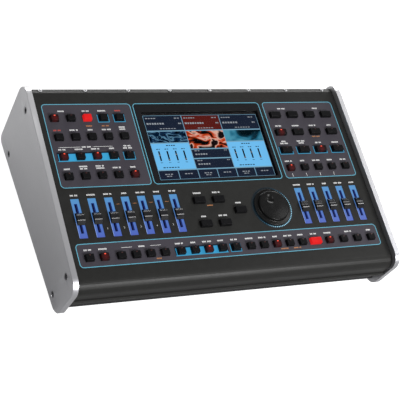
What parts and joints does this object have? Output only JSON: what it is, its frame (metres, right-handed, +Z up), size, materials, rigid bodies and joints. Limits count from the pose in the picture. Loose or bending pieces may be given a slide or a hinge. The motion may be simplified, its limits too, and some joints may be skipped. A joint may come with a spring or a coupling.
{
  "type": "desktop control desk",
  "caption": "Wedge-shaped control desk with metal side cheeks, a touch display, push keys, back-lit slide faders and a data dial.",
  "frame": {"origin": "on the resting plane, under the middle of the desk's footprint", "axes": "+X to the player's right, +Y to the rear, +Z up"},
  "size_m": [0.4256, 0.258, 0.1065],
  "materials": {
    "panel_black": "fine satin powder coat",
    "cheek_aluminium": "silver anodised, fine bead blast",
    "tray_black": "matt black powder coat",
    "rear_black": "satin black powder coat",
    "touch_glass": "gloss touch glass",
    "display_black": "black display module",
    "bracket_steel": "zinc-plated sheet",
    "circuit_board": "green solder mask",
    "switch_black": "moulded",
    "fader_metal": "pressed steel",
    "light_guide_blue": "back-lit blue acrylic",
    "key_guide_blue": "back-lit cyan acrylic",
    "ring_guide": "smoked acrylic with lit ticks",
    "knob_black": "polished black",
    "shaft_steel": "turned",
    "socket_black": "moulded",
    "socket_metal": "nickel-plated shell",
    "supply_metal": "folded sheet",
    "foot_rubber": "matt",
    "screw_black": "black oxide",
    "key_black": "fine satin moulding",
    "key_red": "back-lit translucent red",
    "fader_black": "gloss moulding",
    "legend_ink": "screen-printed ink",
    "outline_light": "thin back-lit cyan line",
    "screen_image": "lit display picture",
    "led_red": "lit red lens"
  },
  "bodies": {
    "case": {"top_panel": "panel_black", "bottom_tray": "tray_black", "left_cheek": "cheek_aluminium", "right_cheek": "cheek_aluminium", "rear_panel": "rear_black", "touch_glass": "touch_glass", "display_module": "display_black", "display_bracket": "bracket_steel", "control_board": "circuit_board", "key_switches": "switch_black", "fader_housings": "switch_black", "fader_windows": "light_guide_blue", "key_light_guides": "key_guide_blue", "dial_encoder": "fader_metal", "dial_light_ring": "ring_guide", "main_board": "circuit_board", "board_standoffs": "bracket_steel", "power_supply": "supply_metal", "power_inlet": "socket_black", "audio_sockets": "socket_black", "midi_sockets": "socket_black", "data_sockets": "socket_metal", "rubber_feet": "foot_rubber", "cheek_screws": "screw_black", "rear_screws": "screw_black"},
    "dial": {"dial_knob": "knob_black", "dial_shaft": "shaft_steel"},
    "power_rocker": {"power_rocker": "socket_black"},
    "left_fader_1": {"left_fader_1": "fader_black"},
    "left_fader_2": {"left_fader_2": "fader_black"},
    "left_fader_3": {"left_fader_3": "fader_black"},
    "left_fader_4": {"left_fader_4": "fader_black"},
    "left_fader_5": {"left_fader_5": "fader_black"},
    "left_fader_6": {"left_fader_6": "fader_black"},
    "left_fader_7": {"left_fader_7": "fader_black"},
    "right_fader_1": {"right_fader_1": "fader_black"},
    "right_fader_2": {"right_fader_2": "fader_black"},
    "right_fader_3": {"right_fader_3": "fader_black"},
    "right_fader_4": {"right_fader_4": "fader_black"},
    "right_fader_5": {"right_fader_5": "fader_black"},
    "player_keys": {"player_keys": "key_black"},
    "record_key": {"record_key": "key_red"},
    "effect_keys": {"effect_keys": "key_black"},
    "search_keys": {"search_keys": "key_black"},
    "bass_keys": {"bass_keys": "key_black"},
    "sound_keys": {"sound_keys": "key_black"},
    "shift_keys": {"shift_keys": "key_black"},
    "touch_keys": {"touch_keys": "key_black"},
    "register_keys": {"register_keys": "key_black"},
    "voice_keys": {"voice_keys": "key_black"},
    "exit_key": {"exit_key": "key_black"},
    "save_key": {"save_key": "key_black"},
    "media_key": {"media_key": "key_black"},
    "menu_key": {"menu_key": "key_black"},
    "enter_key": {"enter_key": "key_black"},
    "intro_keys": {"intro_keys": "key_black"},
    "variation_keys": {"variation_keys": "key_black"},
    "break_keys": {"break_keys": "key_black"},
    "start_key": {"start_key": "key_red"},
    "tempo_keys": {"tempo_keys": "key_black"}
  },
  "joints": [
    {"name": "dial_turn", "type": "hinge", "parent": "case", "child": "dial", "pos_m": [0.0601, -0.04412, 0.0746], "axis": [0, -0.1564, 0.9877], "continuous": true},
    {"name": "power_switch", "type": "hinge", "parent": "case", "child": "power_rocker", "pos_m": [0.1415, 0.11948, 0.033], "axis": [1, 0, 0], "range_deg": [0, 16]},
    {"name": "left_fader_1_slide", "type": "slide", "parent": "case", "child": "left_fader_1", "axis": [0, 0.9877, 0.1564], "range_m": [-0.0135, 0.0165]},
    {"name": "left_fader_2_slide", "type": "slide", "parent": "case", "child": "left_fader_2", "axis": [0, 0.9877, 0.1564], "range_m": [-0.0135, 0.0165]},
    {"name": "left_fader_3_slide", "type": "slide", "parent": "case", "child": "left_fader_3", "axis": [0, 0.9877, 0.1564], "range_m": [-0.0135, 0.0165]},
    {"name": "left_fader_4_slide", "type": "slide", "parent": "case", "child": "left_fader_4", "axis": [0, 0.9877, 0.1564], "range_m": [-0.0135, 0.0165]},
    {"name": "left_fader_5_slide", "type": "slide", "parent": "case", "child": "left_fader_5", "axis": [0, 0.9877, 0.1564], "range_m": [-0.0135, 0.0165]},
    {"name": "left_fader_6_slide", "type": "slide", "parent": "case", "child": "left_fader_6", "axis": [0, 0.9877, 0.1564], "range_m": [-0.0135, 0.0165]},
    {"name": "left_fader_7_slide", "type": "slide", "parent": "case", "child": "left_fader_7", "axis": [0, 0.9877, 0.1564], "range_m": [-0.0135, 0.0165]},
    {"name": "right_fader_1_slide", "type": "slide", "parent": "case", "child": "right_fader_1", "axis": [0, 0.9877, 0.1564], "range_m": [-0.0135, 0.0165]},
    {"name": "right_fader_2_slide", "type": "slide", "parent": "case", "child": "right_fader_2", "axis": [0, 0.9877, 0.1564], "range_m": [-0.0135, 0.0165]},
    {"name": "right_fader_3_slide", "type": "slide", "parent": "case", "child": "right_fader_3", "axis": [0, 0.9877, 0.1564], "range_m": [-0.0135, 0.0165]},
    {"name": "right_fader_4_slide", "type": "slide", "parent": "case", "child": "right_fader_4", "axis": [0, 0.9877, 0.1564], "range_m": [-0.0135, 0.0165]},
    {"name": "right_fader_5_slide", "type": "slide", "parent": "case", "child": "right_fader_5", "axis": [0, 0.9877, 0.1564], "range_m": [-0.0135, 0.0165]},
    {"name": "player_keys_press", "type": "slide", "parent": "case", "child": "player_keys", "axis": [0, 0.1564, -0.9877], "range_m": [0, 0.0008], "stiffness_N_per_m": 500, "springref_m": -0.0006},
    {"name": "record_key_press", "type": "slide", "parent": "case", "child": "record_key", "axis": [0, 0.1564, -0.9877], "range_m": [0, 0.0008], "stiffness_N_per_m": 250, "springref_m": -0.0006},
    {"name": "effect_keys_press", "type": "slide", "parent": "case", "child": "effect_keys", "axis": [0, 0.1564, -0.9877], "range_m": [0, 0.0008], "stiffness_N_per_m": 500, "springref_m": -0.0006},
    {"name": "search_keys_press", "type": "slide", "parent": "case", "child": "search_keys", "axis": [0, 0.1564, -0.9877], "range_m": [0, 0.0008], "stiffness_N_per_m": 1250, "springref_m": -0.0006},
    {"name": "bass_keys_press", "type": "slide", "parent": "case", "child": "bass_keys", "axis": [0, 0.1564, -0.9877], "range_m": [0, 0.0008], "stiffness_N_per_m": 1250, "springref_m": -0.0006},
    {"name": "sound_keys_press", "type": "slide", "parent": "case", "child": "sound_keys", "axis": [0, 0.1564, -0.9877], "range_m": [0, 0.0008], "stiffness_N_per_m": 1250, "springref_m": -0.0006},
    {"name": "shift_keys_press", "type": "slide", "parent": "case", "child": "shift_keys", "axis": [0, 0.1564, -0.9877], "range_m": [0, 0.0008], "stiffness_N_per_m": 1000, "springref_m": -0.0006},
    {"name": "touch_keys_press", "type": "slide", "parent": "case", "child": "touch_keys", "axis": [0, 0.1564, -0.9877], "range_m": [0, 0.0008], "stiffness_N_per_m": 1000, "springref_m": -0.0006},
    {"name": "register_keys_press", "type": "slide", "parent": "case", "child": "register_keys", "axis": [0, 0.1564, -0.9877], "range_m": [0, 0.0008], "stiffness_N_per_m": 1000, "springref_m": -0.0006},
    {"name": "voice_keys_press", "type": "slide", "parent": "case", "child": "voice_keys", "axis": [0, 0.1564, -0.9877], "range_m": [0, 0.0008], "stiffness_N_per_m": 1250, "springref_m": -0.0006},
    {"name": "exit_key_press", "type": "slide", "parent": "case", "child": "exit_key", "axis": [0, 0.1564, -0.9877], "range_m": [0, 0.0008], "stiffness_N_per_m": 250, "springref_m": -0.0006},
    {"name": "save_key_press", "type": "slide", "parent": "case", "child": "save_key", "axis": [0, 0.1564, -0.9877], "range_m": [0, 0.0008], "stiffness_N_per_m": 250, "springref_m": -0.0006},
    {"name": "media_key_press", "type": "slide", "parent": "case", "child": "media_key", "axis": [0, 0.1564, -0.9877], "range_m": [0, 0.0008], "stiffness_N_per_m": 250, "springref_m": -0.0006},
    {"name": "menu_key_press", "type": "slide", "parent": "case", "child": "menu_key", "axis": [0, 0.1564, -0.9877], "range_m": [0, 0.0008], "stiffness_N_per_m": 250, "springref_m": -0.0006},
    {"name": "enter_key_press", "type": "slide", "parent": "case", "child": "enter_key", "axis": [0, 0.1564, -0.9877], "range_m": [0, 0.0008], "stiffness_N_per_m": 250, "springref_m": -0.0006},
    {"name": "intro_keys_press", "type": "slide", "parent": "case", "child": "intro_keys", "axis": [0, 0.1564, -0.9877], "range_m": [0, 0.0008], "stiffness_N_per_m": 1500, "springref_m": -0.0006},
    {"name": "variation_keys_press", "type": "slide", "parent": "case", "child": "variation_keys", "axis": [0, 0.1564, -0.9877], "range_m": [0, 0.0008], "stiffness_N_per_m": 1250, "springref_m": -0.0006},
    {"name": "break_keys_press", "type": "slide", "parent": "case", "child": "break_keys", "axis": [0, 0.1564, -0.9877], "range_m": [0, 0.0008], "stiffness_N_per_m": 1250, "springref_m": -0.0006},
    {"name": "start_key_press", "type": "slide", "parent": "case", "child": "start_key", "axis": [0, 0.1564, -0.9877], "range_m": [0, 0.0008], "stiffness_N_per_m": 250, "springref_m": -0.0006},
    {"name": "tempo_keys_press", "type": "slide", "parent": "case", "child": "tempo_keys", "axis": [0, 0.1564, -0.9877], "range_m": [0, 0.0008], "stiffness_N_per_m": 1000, "springref_m": -0.0006}
  ]
}
